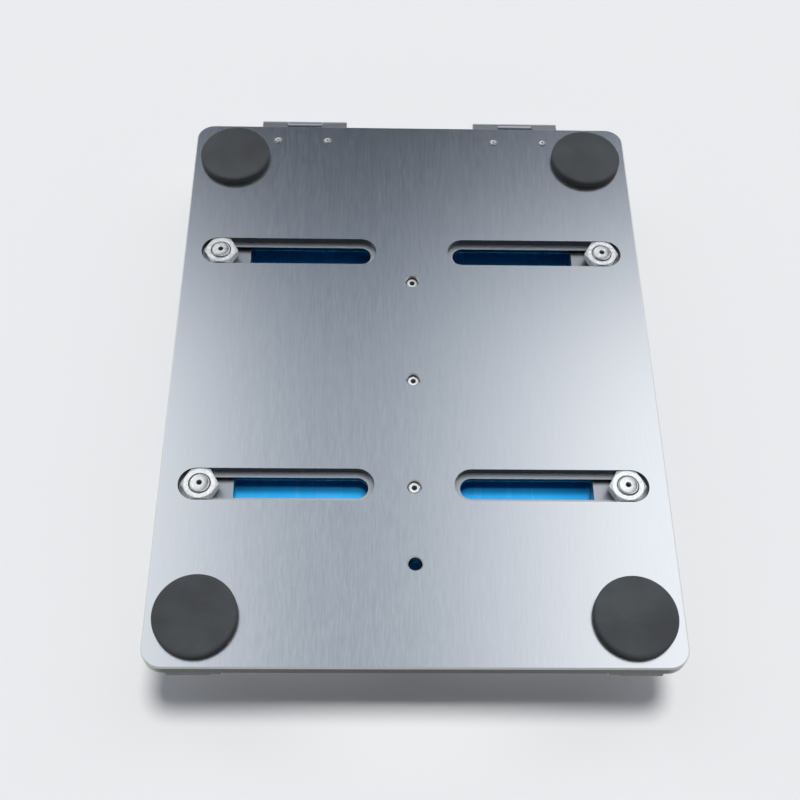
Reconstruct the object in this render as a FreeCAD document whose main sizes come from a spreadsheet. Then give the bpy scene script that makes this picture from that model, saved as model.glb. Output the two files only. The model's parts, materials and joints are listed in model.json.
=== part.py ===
import FreeCAD, Part
import math
import os
import re
import Sketcher

# Manual stencil printer, in millimetres. +Z is up, +Y is the hinge side, X runs from side to side.
# The origin is on the bench, under the middle of the whole printer's length and width.
# Threads are drawn plain: a screw at its outer diameter, a threaded hole wider by threadClearance.

SIZES = {
    # base plate
    "plateWidth": 200,
    "plateLength": 260,
    "plateThickness": 6,
    "plateCornerRadius": 8,
    "plateEdgeBreak": 0.6,
    # stick-on feet
    "footRadius": 15.75,
    "footThickness": 3.8,
    "footEdgeRound": 0.6,
    "footSideInset": 19,
    "footRearInset": 20,
    "footFrontInset": 19,
    # two-level slots: the recess holds the nut from below, the slot in it lets the clamp screw through
    "slotRowSpacing": 113.5,
    "slotSideMargin": 7.5,
    "slotInnerEnd": 15.7,
    "nutSideClearance": 0.4,
    "slotClearance": 0.5,
    # rail clamps
    "clampEndGap": 1.6,
    "clampThread": 8,
    "clampTipGap": 2.6,
    "clampTipBreak": 0.5,
    "clampHeadDiameter": 13,
    "clampHeadHeight": 5,
    "clampHeadBreak": 0.5,
    "clampSocket": 5,
    "clampSocketDepth": 3,
    "nutFlats": 13,
    "nutThickness": 4,
    "nutProud": 0.4,
    "nutFaceDiameter": 12.4,
    "nutCornerAngle": 30,
    # sliding rails, each with a ledge for the board's edge
    "railThickness": 8,
    "railFrontGap": 1.5,
    "railRearGap": 16,
    "railEdgeBreak": 0.4,
    "boardLedgeWidth": 4,
    "boardThickness": 1.6,
    "seatClearance": 0.5,
    "seatSink": 0.2,
    "seatInnerWall": 1.5,
    "seatOuterWall": 1,
    # centre holes, from the plate's middle, and the bar on the first three
    "centreHoleOne": 40.7,
    "centreHoleTwo": -8.8,
    "centreHoleThree": -57.5,
    "centreHoleFour": -89.5,
    "centreThread": 5,
    "centreScrewLength": 12,
    "centreScrewHead": 9.2,
    "centreScrewSocket": 3,
    "centreScrewSocketDepth": 1.8,
    "barWidth": 20,
    "barEndReach": 14,
    "barCornerRadius": 2.5,
    # hinges
    "hingeSpacing": 100.8,
    "axisOverhang": 7.5,
    "barrelRadius": 2.5,
    "pinRadius": 1.25,
    "pinClearance": 0.05,
    "pinEndBreak": 0.3,
    "leafLength": 40,
    "leafFrontMargin": 3.95,
    "leafThickness": 1.6,
    "leafCornerRadius": 2,
    "middleKnuckle": 16,
    "knuckleGap": 0.3,
    "hingeScrewSpacing": 23,
    "hingeScrewInset": 8.85,
    "hingeThread": 3,
    "hingeScrewHead": 5.5,
    "hingeScrewSocket": 2,
    "hingeScrewSocketDepth": 1.1,
    "baseScrewLength": 8,
    "frameScrewLength": 10,
    # hinged frame and the bar that lifts it off the hinges
    "spacerSideMargin": 4.6,
    "spacerDepth": 14,
    "spacerCornerRadius": 2,
    "frameRearInset": 0.5,
    "frameFrontInset": 12,
    "frameSideInset": 5,
    "frameThickness": 8,
    "frameCornerRadius": 6,
    "frameEdgeBreak": 0.5,
    "frameSideBar": 20,
    "frameEndBar": 36,
    "windowCornerRadius": 5,
    # stencil sheet under the frame
    "sheetThickness": 0.2,
    "sheetSideLap": 14,
    "sheetEndLap": 16,
    "sheetCornerRadius": 3,
    "sheetGap": 0.3,
    # pad apertures of the stencil: places are from the middle of the sheet
    "driverX": 24,
    "driverY": 15,
    "driverPads": 8,
    "driverPitch": 1.27,
    "driverRowSpacing": 9.2,
    "driverPadWidth": 0.6,
    "driverPadLength": 1.6,
    "quadX": -22,
    "quadY": 12,
    "quadPads": 10,
    "quadPitch": 0.8,
    "quadRowSpacing": 11.6,
    "quadPadWidth": 0.4,
    "quadPadLength": 1.5,
    "chipY": -15.7,
    "chipPads": 10,
    "chipPitch": 5.4,
    "chipRowSpacing": 2.6,
    "chipPadWidth": 1,
    "chipPadLength": 0.9,
    "headerY": -29,
    "headerPads": 14,
    "headerPitch": 2.54,
    "headerPadWidth": 1.2,
    "headerPadLength": 2.4,
    "coilY": 32,
    "coilPads": 4,
    "coilPitch": 9,
    "coilPadWidth": 2.2,
    "coilPadLength": 3,
    # lift knob
    "knobInset": 14,
    "knobRadius": 9,
    "knobFootRadius": 6.5,
    "knobWaistRadius": 5.5,
    "knobHeight": 16,
    "knobCapHeight": 6,
    "knobEdgeRound": 1.2,
    "knobThread": 4,
    "knobScrewLength": 14,
    "knobScrewHead": 7.4,
    "knobScrewSocket": 2.5,
    "knobScrewSocketDepth": 1.5,
    # shared by the screws and their holes
    "threadClearance": 0.05,
    "headClearance": 0.15,
    "mouthBreak": 0.5,
    "tapRunout": 1,
}

# Heights and places that several pieces share
plateTop = "(footThickness + plateThickness)"
plateMiddle = "(-(axisOverhang + barrelRadius) / 2)"
rearEdge = f"({plateMiddle} + plateLength / 2)"
frontEdge = f"({plateMiddle} - plateLength / 2)"
recessWidth = "(nutFlats + 2 * nutSideClearance)"
recessDepth = "(nutThickness - nutProud)"
slotWidth = "(clampThread + 2 * slotClearance)"
slotOuterEnd = "(plateWidth / 2 - slotSideMargin)"
clampAxis = f"({slotOuterEnd} - {recessWidth} / 2 - clampEndGap)"
seatDiameter = "(clampHeadDiameter + 2 * seatClearance)"
seatDepth = "(clampHeadHeight + seatSink)"
seatHeight = f"({plateTop} + railThickness - {seatDepth})"
ledgeHeight = "(railThickness - boardThickness)"
leafReach = "(axisOverhang + hingeScrewInset + leafFrontMargin)"
hingeAxis = f"({rearEdge} + axisOverhang)"
hingeAxisHeight = f"({plateTop} + barrelRadius)"
hingeScrewLine = f"({rearEdge} - hingeScrewInset)"
spacerWidth = "(hingeSpacing + leafLength + 2 * spacerSideMargin)"
spacerHeight = "(railThickness + sheetGap + sheetThickness - 2 * barrelRadius)"
frameBottom = f"({plateTop} + 2 * barrelRadius + {spacerHeight})"
frameWidth = "(plateWidth - 2 * frameSideInset)"
frameLength = "(plateLength - frameRearInset - frameFrontInset)"
frameMiddle = f"({rearEdge} - frameRearInset - {frameLength} / 2)"
knobPlace = f"({frameMiddle} - {frameLength} / 2 + knobInset)"
CENTRE_HOLES = ("centreHoleOne", "centreHoleTwo", "centreHoleThree", "centreHoleFour")
SIDES = {"left": -1, "right": 1}
ROWS = {"front": -1, "rear": 1}

doc = FreeCAD.newDocument("stencilPrinter")
sheet = doc.addObject("Spreadsheet::Sheet", "Sizes")
subParts = []


def fillSheet():
    for row, (name, value) in enumerate(SIZES.items(), 1):
        sheet.set(f"A{row}", name)
        sheet.set(f"B{row}", str(value))
        sheet.setAlias(f"B{row}", name)
    doc.recompute()


def bound(formula):
    def asCell(word):
        return f"Sizes.{word[0]}" if word[0] in SIZES else word[0]
    return re.sub(r"[A-Za-z]+", asCell, formula)


def number(formula):
    return float(sheet.evalExpression(bound(formula)))


# Bodies, sketches and features


def moveTo(item, x, y, z):
    for axis, formula in zip("xyz", (x, y, z)):
        item.setExpression(f"Placement.Base.{axis}", bound(formula))


def newBody(name, x="0", y="0", z="0"):
    body = doc.addObject("PartDesign::Body", name)
    body.Label = name
    moveTo(body, x, y, z)
    return body


def newSketch(body, name, role="XY_Plane", offset="0"):
    sketch = body.newObject("Sketcher::SketchObject", name)
    plane = next(item for item in body.Origin.OriginFeatures if item.Role == role)
    sketch.AttachmentSupport = (plane, "")
    sketch.MapMode = "FlatFace"
    sketch.setExpression("AttachmentOffset.Base.z", bound(offset))
    return sketch


def constrain(sketch, kind, *rest, formula=None):
    if formula is None:
        return sketch.addConstraint(Sketcher.Constraint(kind, *rest))
    index = sketch.addConstraint(Sketcher.Constraint(kind, *rest, number(formula)))
    sketch.setExpression(f"Constraints[{index}]", bound(formula))
    return index


def placePoint(sketch, item, point, x, y):
    constrain(sketch, "DistanceX", -1, 1, item, point, formula=x)
    constrain(sketch, "DistanceY", -1, 1, item, point, formula=y)


def outline(sketch, corners):
    points = [FreeCAD.Vector(number(x), number(y), 0) for x, y in corners]
    lines = [Part.LineSegment(points[i - 1], points[i]) for i in range(len(points))]
    items = sketch.addGeometry(lines)
    for i in range(len(items)):
        constrain(sketch, "Coincident", items[i - 1], 2, items[i], 1)
    for item, (x, y) in zip(items, corners):
        placePoint(sketch, item, 2, x, y)


def rectangle(sketch, x, y, width, length):
    left, right = f"{x} - ({width}) / 2", f"{x} + ({width}) / 2"
    front, rear = f"{y} - ({length}) / 2", f"{y} + ({length}) / 2"
    outline(sketch, [(left, front), (right, front), (right, rear), (left, rear)])


def hexagon(sketch, flats):
    corners = []
    for i in range(6):
        corner = f"({flats}) / sqrt(3)"
        corners.append((f"{corner} * cos({60 * i} deg)", f"{corner} * sin({60 * i} deg)"))
    outline(sketch, corners)


def circle(sketch, x, y, diameter):
    centre = FreeCAD.Vector(number(x), number(y), 0)
    item = sketch.addGeometry(Part.Circle(centre, FreeCAD.Vector(0, 0, 1), number(diameter) / 2))
    placePoint(sketch, item, 3, x, y)
    constrain(sketch, "Diameter", item, formula=diameter)


def slotOutline(sketch, nearEnd, farEnd, y, width):
    # A slot with round ends whose outermost points are at nearEnd < farEnd.
    radius = number(width) / 2
    xNear, xFar = number(nearEnd) + radius, number(farEnd) - radius
    yMiddle, up = number(y), FreeCAD.Vector(0, 0, 1)
    quarter = math.pi / 2
    nearCircle = Part.Circle(FreeCAD.Vector(xNear, yMiddle, 0), up, radius)
    farCircle = Part.Circle(FreeCAD.Vector(xFar, yMiddle, 0), up, radius)
    near = sketch.addGeometry(Part.ArcOfCircle(nearCircle, quarter, 3 * quarter))
    far = sketch.addGeometry(Part.ArcOfCircle(farCircle, -quarter, quarter))
    top = sketch.addGeometry(Part.LineSegment(
        FreeCAD.Vector(xFar, yMiddle + radius, 0), FreeCAD.Vector(xNear, yMiddle + radius, 0)))
    bottom = sketch.addGeometry(Part.LineSegment(
        FreeCAD.Vector(xNear, yMiddle - radius, 0), FreeCAD.Vector(xFar, yMiddle - radius, 0)))
    constrain(sketch, "Tangent", near, 1, top, 2)
    constrain(sketch, "Tangent", near, 2, bottom, 1)
    constrain(sketch, "Tangent", far, 1, bottom, 2)
    constrain(sketch, "Tangent", far, 2, top, 1)
    constrain(sketch, "Equal", near, far)
    constrain(sketch, "Diameter", near, formula=width)
    placePoint(sketch, near, 3, f"{nearEnd} + ({width}) / 2", y)
    placePoint(sketch, far, 3, f"{farEnd} - ({width}) / 2", y)


def pad(body, sketch, length, both=False):
    feature = body.newObject("PartDesign::Pad", f"{sketch.Name}Pad")
    feature.Profile = sketch
    feature.Midplane = both
    feature.setExpression("Length", bound(length))
    doc.recompute()
    return feature


def cutCheck(body, before, feature):
    # A cut that points away from the solid changes nothing and shows no error.
    doc.recompute()
    if feature.Shape.Volume >= before - 1e-6:
        raise RuntimeError(f"{body.Label}: {feature.Name} cuts nothing")
    return feature


def pocket(body, sketch, depth=None, upwards=False, bothWays=False):
    doc.recompute()
    before = body.Shape.Volume
    feature = body.newObject("PartDesign::Pocket", f"{sketch.Name}Pocket")
    feature.Profile = sketch
    feature.Reversed = upwards
    feature.Midplane = bothWays
    if depth is None:
        feature.Type = "ThroughAll"
    else:
        feature.setExpression("Length", bound(depth))
    return cutCheck(body, before, feature)


def hole(body, sketch, diameter, mouth, seat=None, depth=None, upwards=False):
    # A drilled hole whose mouth is a 90 degree countersink, or a counterbore when seat is given as its depth.
    doc.recompute()
    before = body.Shape.Volume
    feature = body.newObject("PartDesign::Hole", f"{sketch.Name}Hole")
    feature.Profile = sketch
    doc.recompute()
    feature.ThreadType = "None"
    feature.Reversed = upwards
    feature.setExpression("Diameter", bound(diameter))
    feature.DrillPoint = "Flat"
    if depth is None:
        feature.DepthType = "ThroughAll"
    else:
        feature.DepthType = "Dimension"
        feature.setExpression("Depth", bound(depth))
    feature.HoleCutType = "Countersink" if seat is None else "Counterbore"
    feature.setExpression("HoleCutDiameter", bound(mouth))
    if seat is None:
        feature.HoleCutCountersinkAngle = 90
    else:
        feature.setExpression("HoleCutDepth", bound(seat))
    return cutCheck(body, before, feature)


def tappedHole(body, sketch, thread, depth=None):
    # Tapped from the sketch upwards, with a small countersink at its mouth.
    hole(body, sketch, f"{thread} + 2 * threadClearance", f"{thread} + 2 * mouthBreak", depth=depth, upwards=True)


def screwClearance(body, sketch, kind, upwards=False):
    # A clearance hole whose countersink the head of that kind of screw lies in, headClearance below the face.
    hole(body, sketch, f"{kind}Thread + 2 * headClearance", f"{kind}ScrewHead + 2 * headClearance", upwards=upwards)


def turned(name, corners):
    body = newBody(name)
    profile = newSketch(body, f"{name}_profile", "XZ_Plane")
    outline(profile, corners)
    feature = body.newObject("PartDesign::Revolution", f"{name}_turned")
    feature.Profile = profile
    feature.ReferenceAxis = (profile, ["V_Axis"])
    feature.Angle = 360
    doc.recompute()
    return body


def isUpright(edge, shape):
    box = edge.BoundBox
    return box.ZLength > 1e-3 and box.XLength < 1e-3 and box.YLength < 1e-3


def isLevel(edge, shape):
    return edge.BoundBox.ZLength < 1e-3


def isTop(edge, shape):
    return isLevel(edge, shape) and shape.BoundBox.ZMax - edge.BoundBox.ZMax < 1e-3


def isEnd(edge, shape):
    return edge.BoundBox.XLength < 1e-3


def isFrontCorner(edge, shape):
    return isUpright(edge, shape) and edge.BoundBox.YMin - shape.BoundBox.YMin < 1e-3


def isWindowCorner(edge, shape):
    return isUpright(edge, shape) and abs(edge.BoundBox.XMax) < shape.BoundBox.XMax - number("frameCornerRadius")


def dress(body, kind, wanted, size, name):
    # Rounds or bevels those edges of the body so far for which wanted(edge, shape) is true.
    base = body.Tip
    names = [f"Edge{i}" for i, edge in enumerate(base.Shape.Edges, 1) if wanted(edge, base.Shape)]
    feature = body.newObject(f"PartDesign::{kind}", f"{body.Name}{name}")
    feature.Base = (base, names)
    feature.setExpression("Radius" if kind == "Fillet" else "Size", bound(size))
    doc.recompute()
    return feature


def finished(item):
    subParts.append(item)
    return item


# Base plate and feet


def addBasePlate():
    body = newBody("base_plate", y=plateMiddle, z="footThickness")
    blank = newSketch(body, "plateBlank")
    rectangle(blank, "0", "0", "plateWidth", "plateLength")
    pad(body, blank, "plateThickness")
    dress(body, "Fillet", isUpright, "plateCornerRadius", "Corners")
    dress(body, "Chamfer", isLevel, "plateEdgeBreak", "EdgeBreak")
    recesses = newSketch(body, "plateRecesses")
    slots = newSketch(body, "plateSlots")
    ledge = f"({recessWidth} - {slotWidth}) / 2"
    for row in ROWS.values():
        y = f"{row} * slotRowSpacing / 2"
        slotOutline(recesses, "slotInnerEnd", slotOuterEnd, y, recessWidth)
        slotOutline(recesses, f"-{slotOuterEnd}", "-slotInnerEnd", y, recessWidth)
        slotOutline(slots, f"slotInnerEnd + {ledge}", f"{slotOuterEnd} - {ledge}", y, slotWidth)
        slotOutline(slots, f"-{slotOuterEnd} + {ledge}", f"-slotInnerEnd - {ledge}", y, slotWidth)
    pocket(body, recesses, recessDepth, upwards=True)
    pocket(body, slots, upwards=True)
    centreHoles = newSketch(body, "plateCentreHoles")
    for place in CENTRE_HOLES:
        circle(centreHoles, "0", place, "centreThread")
    tappedHole(body, centreHoles, "centreThread")
    hingeHoles = newSketch(body, "plateHingeHoles")
    for x in hingeScrewPlaces():
        circle(hingeHoles, x, "plateLength / 2 - hingeScrewInset", "hingeThread")
    tappedHole(body, hingeHoles, "hingeThread")
    finished(body)


def hingeScrewPlaces():
    places = []
    for side in SIDES.values():
        for end in SIDES.values():
            places.append(f"{side} * hingeSpacing / 2 + {end} * hingeScrewSpacing / 2")
    return places


def addFeet():
    for rowName, row in ROWS.items():
        y = f"{rearEdge} - footRearInset" if row > 0 else f"{frontEdge} + footFrontInset"
        for sideName, side in SIDES.items():
            body = turned(f"foot_{rowName}_{sideName}", [
                ("0", "0"),
                ("footRadius - footEdgeRound", "0"),
                ("footRadius", "footEdgeRound"),
                ("footRadius", "footThickness"),
                ("0", "footThickness"),
            ])
            moveTo(body, f"{side} * (plateWidth / 2 - footSideInset)", y, "0")
            finished(body)


# Screws and nuts, each with z = 0 at its seat


def hexSocket(body, height, flats, depth):
    socket = newSketch(body, f"{body.Name}_socket", offset=height)
    hexagon(socket, flats)
    pocket(body, socket, depth)


def countersunkScrew(name, kind, length):
    # kind names the group of sizes: its thread, head and socket
    headRadius, shankRadius = f"{kind}ScrewHead / 2", f"{kind}Thread / 2"
    body = turned(name, [
        ("0", "0"),
        (headRadius, "0"),
        (shankRadius, f"{shankRadius} - {headRadius}"),
        (shankRadius, f"-({length})"),
        ("0", f"-({length})"),
    ])
    hexSocket(body, "0", f"{kind}ScrewSocket", f"{kind}ScrewSocketDepth")
    return body


def capScrew(name):
    length = f"({seatHeight} - clampTipGap)"
    body = turned(name, [
        ("0", "clampHeadHeight"),
        ("clampHeadDiameter / 2 - clampHeadBreak", "clampHeadHeight"),
        ("clampHeadDiameter / 2", "clampHeadHeight - clampHeadBreak"),
        ("clampHeadDiameter / 2", "0"),
        ("clampThread / 2", "0"),
        ("clampThread / 2", f"-{length} + clampTipBreak"),
        ("clampThread / 2 - clampTipBreak", f"-{length}"),
        ("0", f"-{length}"),
    ])
    hexSocket(body, "clampHeadHeight", "clampSocket", "clampSocketDepth")
    return body


def hexNut(name):
    body = newBody(name)
    blank = newSketch(body, f"{name}_blank")
    hexagon(blank, "nutFlats")
    pad(body, blank, "nutThickness")
    turnCorners(body, "lower", "0", 1)
    turnCorners(body, "upper", "nutThickness", -1)
    bore = newSketch(body, f"{name}_bore")
    circle(bore, "0", "0", "clampThread")
    tappedHole(body, bore, "clampThread")
    return body


def turnCorners(body, which, end, inwards):
    # The six corners are turned down to a cone, so that the flats meet the round face in arcs.
    corner = newSketch(body, f"{body.Name}_{which}_corner", "XZ_Plane")
    faceRadius, outside = "nutFaceDiameter / 2", "nutFlats"
    depth = f"({outside} - {faceRadius}) * tan(nutCornerAngle * 1 deg)"
    outline(corner, [
        (faceRadius, end),
        (outside, end),
        (outside, f"{end} + {inwards} * {depth}"),
    ])
    doc.recompute()
    before = body.Shape.Volume
    groove = body.newObject("PartDesign::Groove", f"{corner.Name}_turned")
    groove.Profile = corner
    groove.ReferenceAxis = (corner, ["V_Axis"])
    groove.Angle = 360
    cutCheck(body, before, groove)


def addClamps():
    for rowName, row in ROWS.items():
        y = f"{plateMiddle} + {row} * slotRowSpacing / 2"
        for sideName, side in SIDES.items():
            x = f"{side} * {clampAxis}"
            screw = capScrew(f"clamp_screw_{rowName}_{sideName}")
            moveTo(screw, x, y, seatHeight)
            nut = hexNut(f"clamp_nut_{rowName}_{sideName}")
            moveTo(nut, x, y, "footThickness - nutProud")
            finished(screw)
            finished(nut)


def screwGroup(label, screws):
    group = doc.addObject("Part::Compound", label)
    group.Label = label
    group.Links = screws
    finished(group)


# Sliding rails and the fixed support bar


def addRail(sideName, side):
    body = newBody(f"rail_{sideName}", x=f"{side} * {clampAxis}", y=plateMiddle, z=plateTop)
    length = "(plateLength - railFrontGap - railRearGap)"
    middle = "(railFrontGap - railRearGap) / 2"
    section = newSketch(body, f"rail_{sideName}_section", "XZ_Plane", offset=f"-{middle}")
    step = f"{-side} * ({seatDiameter} / 2 + seatInnerWall)"
    inner = f"{step} + {-side} * boardLedgeWidth"
    outer = f"{side} * ({seatDiameter} / 2 + seatOuterWall)"
    outline(section, [
        (inner, "0"),
        (outer, "0"),
        (outer, "railThickness"),
        (step, "railThickness"),
        (step, ledgeHeight),
        (inner, ledgeHeight),
    ])
    pad(body, section, length, both=True)
    dress(body, "Chamfer", isTop, "railEdgeBreak", "EdgeBreak")
    seats = newSketch(body, f"rail_{sideName}_seats", offset="railThickness")
    for row in ROWS.values():
        circle(seats, "0", f"{row} * slotRowSpacing / 2", slotWidth)
    hole(body, seats, slotWidth, seatDiameter, seat=seatDepth)
    finished(body)


def addSupportBar():
    front, rear = "(centreHoleThree - barEndReach)", "(centreHoleOne + barEndReach)"
    body = newBody("support_bar", y=plateMiddle, z=plateTop)
    blank = newSketch(body, "barBlank")
    rectangle(blank, "0", f"({front} + {rear}) / 2", "barWidth", f"{rear} - {front}")
    pad(body, blank, ledgeHeight)
    dress(body, "Fillet", isUpright, "barCornerRadius", "Corners")
    dress(body, "Chamfer", isTop, "railEdgeBreak", "EdgeBreak")
    holes = newSketch(body, "barHoles", offset=ledgeHeight)
    screws = []
    for i, place in enumerate(CENTRE_HOLES[:3], 1):
        circle(holes, "0", place, "centreThread")
        screw = countersunkScrew(f"support_bar_screw_{i}", "centre", "centreScrewLength")
        moveTo(screw, "0", f"{plateMiddle} + {place}", f"{plateTop} + {ledgeHeight} - headClearance")
        screws.append(screw)
    screwClearance(body, holes, "centre")
    finished(body)
    screwGroup("support_bar_screws", screws)


# Hinges: each leaf is a plate that ends in a barrel about the pin, and its local X is the pin's axis


def addLeaf(name, x, turn, gaps):
    # turn is 1 for the leaf under the axis and -1 for the one above it; gaps are where the other leaf's knuckles sit.
    body = newBody(name, x=x, y=hingeAxis, z=hingeAxisHeight)
    flat = newSketch(body, f"{name}_flat", offset=f"-{turn} * (barrelRadius - leafThickness / 2)")
    rectangle(flat, "0", f"-{leafReach} / 2", "leafLength", leafReach)
    pad(body, flat, "leafThickness", both=True)
    dress(body, "Fillet", isFrontCorner, "leafCornerRadius", "Corners")
    barrel = newSketch(body, f"{name}_barrel", "YZ_Plane")
    circle(barrel, "0", "0", "2 * barrelRadius")
    pad(body, barrel, "leafLength", both=True)
    relief = newSketch(body, f"{name}_relief")
    reach = "(barrelRadius + knuckleGap)"
    for start, end in gaps:
        outline(relief, [(start, f"-{reach}"), (end, f"-{reach}"), (end, reach), (start, reach)])
    pocket(body, relief, bothWays=True)
    bore = newSketch(body, f"{name}_bore", "YZ_Plane")
    circle(bore, "0", "0", "2 * (pinRadius + pinClearance)")
    pocket(body, bore, bothWays=True)
    mouths = newSketch(body, f"{name}_mouths", offset=f"-{turn} * (barrelRadius - leafThickness)")
    for end in SIDES.values():
        circle(mouths, f"{end} * hingeScrewSpacing / 2", "-(axisOverhang + hingeScrewInset)", "hingeThread")
    screwClearance(body, mouths, "hinge", upwards=turn < 0)
    finished(body)


def addHinges():
    half, middle = "leafLength / 2", "middleKnuckle / 2"
    innerGap = [(f"-{middle} - knuckleGap", f"{middle} + knuckleGap")]
    outerGaps = [(f"-{half} - knuckleGap", f"-{middle}"), (middle, f"{half} + knuckleGap")]
    for sideName, side in SIDES.items():
        x = f"{side} * hingeSpacing / 2"
        addLeaf(f"hinge_{sideName}_base_leaf", x, 1, innerGap)
        addLeaf(f"hinge_{sideName}_frame_leaf", x, -1, outerGaps)
        pin = newBody(f"hinge_{sideName}_pin", x=x, y=hingeAxis, z=hingeAxisHeight)
        end = newSketch(pin, f"hinge_{sideName}_pin_end", "YZ_Plane")
        circle(end, "0", "0", "2 * pinRadius")
        pad(pin, end, "leafLength", both=True)
        dress(pin, "Chamfer", isEnd, "pinEndBreak", "Ends")
        finished(pin)


def addHingeScrews():
    baseScrews, frameScrews = [], []
    face = "(leafThickness - headClearance)"
    for i, x in enumerate(hingeScrewPlaces(), 1):
        lower = countersunkScrew(f"hinge_base_screw_{i}", "hinge", "baseScrewLength")
        moveTo(lower, x, hingeScrewLine, f"{plateTop} + {face}")
        upper = countersunkScrew(f"hinge_frame_screw_{i}", "hinge", "frameScrewLength")
        turnOver(upper)
        moveTo(upper, x, hingeScrewLine, f"{plateTop} + 2 * barrelRadius - {face}")
        baseScrews.append(lower)
        frameScrews.append(upper)
    screwGroup("hinge_base_screws", baseScrews)
    screwGroup("hinge_frame_screws", frameScrews)


def turnOver(screw):
    screw.Placement.Rotation = FreeCAD.Rotation(FreeCAD.Vector(1, 0, 0), 180)


# Hinged frame, its spacer, stencil sheet and lift knob


def addHingeSpacer():
    body = newBody("hinge_spacer", y=rearEdge, z=f"{plateTop} + 2 * barrelRadius")
    blank = newSketch(body, "spacerBlank")
    rectangle(blank, "0", "-frameRearInset - spacerDepth / 2", spacerWidth, "spacerDepth")
    pad(body, blank, spacerHeight)
    dress(body, "Fillet", isUpright, "spacerCornerRadius", "Corners")
    holes = newSketch(body, "spacerHoles", offset=spacerHeight)
    for x in hingeScrewPlaces():
        circle(holes, x, "-hingeScrewInset", "hingeThread + 2 * headClearance")
    pocket(body, holes)
    finished(body)


def addStencilFrame():
    body = newBody("stencil_frame", y=frameMiddle, z=frameBottom)
    blank = newSketch(body, "frameBlank")
    rectangle(blank, "0", "0", frameWidth, frameLength)
    pad(body, blank, "frameThickness")
    dress(body, "Fillet", isUpright, "frameCornerRadius", "Corners")
    window = newSketch(body, "frameWindow")
    rectangle(window, "0", "0", f"{frameWidth} - 2 * frameSideBar", f"{frameLength} - 2 * frameEndBar")
    pocket(body, window, upwards=True)
    dress(body, "Fillet", isWindowCorner, "windowCornerRadius", "WindowCorners")
    dress(body, "Chamfer", isLevel, "frameEdgeBreak", "EdgeBreak")
    hingeHoles = newSketch(body, "frameHingeHoles")
    for x in hingeScrewPlaces():
        circle(hingeHoles, x, f"{frameLength} / 2 + frameRearInset - hingeScrewInset", "hingeThread")
    grip = f"frameScrewLength - (leafThickness - headClearance) - {spacerHeight}"
    tappedHole(body, hingeHoles, "hingeThread", depth=f"{grip} + tapRunout")
    knobHole = newSketch(body, "frameKnobHole")
    circle(knobHole, "0", f"-{frameLength} / 2 + knobInset", "knobThread")
    screwClearance(body, knobHole, "knob", upwards=True)
    finished(body)


def padRow(kind, name, x, y, along="X"):
    # kind names the group of sizes: the number of pads, their pitch, and their width and length across the row
    boxes = []
    count = int(number(f"{kind}Pads"))
    width, length = (f"{kind}PadWidth", f"{kind}PadLength") if along == "X" else (f"{kind}PadLength", f"{kind}PadWidth")
    for i in range(count):
        shift = f"{i - (count - 1) / 2} * {kind}Pitch"
        padX, padY = (f"{x} + {shift}", y) if along == "X" else (x, f"{y} + {shift}")
        box = doc.addObject("Part::Box", f"aperture_{name}_{i}")
        box.setExpression("Length", bound(width))
        box.setExpression("Width", bound(length))
        box.setExpression("Height", bound("3 * sheetThickness"))
        moveTo(box, f"{padX} - {width} / 2", f"{frameMiddle} + {padY} - {length} / 2", f"{frameBottom} - 2 * sheetThickness")
        boxes.append(box)
    return boxes


def padApertures():
    boxes = padRow("header", "header", "0", "headerY") + padRow("coil", "coil", "0", "coilY")
    for name, side in ROWS.items():
        boxes += padRow("driver", f"driver_{name}", "driverX", f"driverY + {side} * driverRowSpacing / 2")
        boxes += padRow("quad", f"quad_{name}", "quadX", f"quadY + {side} * quadRowSpacing / 2")
        boxes += padRow("chip", f"chip_{name}", "0", f"chipY + {side} * chipRowSpacing / 2")
    for name, side in SIDES.items():
        boxes += padRow("quad", f"quad_{name}", f"quadX + {side} * quadRowSpacing / 2", "quadY", along="Y")
    return boxes


def addStencilSheet():
    body = newBody("stencil_blank", y=frameMiddle, z=f"{frameBottom} - sheetThickness")
    blank = newSketch(body, "sheetBlank")
    width = f"{frameWidth} - 2 * (frameSideBar - sheetSideLap)"
    length = f"{frameLength} - 2 * (frameEndBar - sheetEndLap)"
    rectangle(blank, "0", "0", width, length)
    pad(body, blank, "sheetThickness")
    dress(body, "Fillet", isUpright, "sheetCornerRadius", "Corners")
    apertures = doc.addObject("Part::Compound", "apertures")
    apertures.Links = padApertures()
    cut = doc.addObject("Part::Cut", "stencil_sheet")
    cut.Label = "stencil_sheet"
    cut.Base = body
    cut.Tool = apertures
    finished(cut)


def addLiftKnob():
    body = turned("lift_knob", [
        ("0", "0"),
        ("knobFootRadius", "0"),
        ("knobWaistRadius", "(knobHeight - knobCapHeight) / 2"),
        ("knobRadius", "knobHeight - knobCapHeight"),
        ("knobRadius", "knobHeight - knobEdgeRound"),
        ("knobRadius - knobEdgeRound", "knobHeight"),
        ("0", "knobHeight"),
    ])
    moveTo(body, "0", knobPlace, f"{frameBottom} + frameThickness")
    bore = newSketch(body, "knobBore")
    circle(bore, "0", "0", "knobThread")
    tappedHole(body, bore, "knobThread", depth="knobScrewLength + headClearance - frameThickness + tapRunout")
    finished(body)
    screw = countersunkScrew("lift_knob_screw", "knob", "knobScrewLength")
    turnOver(screw)
    moveTo(screw, "0", knobPlace, f"{frameBottom} + headClearance")
    finished(screw)


def writeParts():
    doc.recompute()
    for item in doc.Objects:
        if "Invalid" in item.State or "Error" in item.State:
            raise RuntimeError(f"{item.Label} failed: {item.State}")
    os.makedirs("parts", exist_ok=True)
    for item in subParts:
        if item.Shape.isNull() or not item.Shape.isValid():
            raise RuntimeError(f"{item.Label} has no valid shape")
        item.Shape.exportStep(f"parts/{item.Label}.step")
        print(item.Label, "volume", round(item.Shape.Volume, 1))


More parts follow.
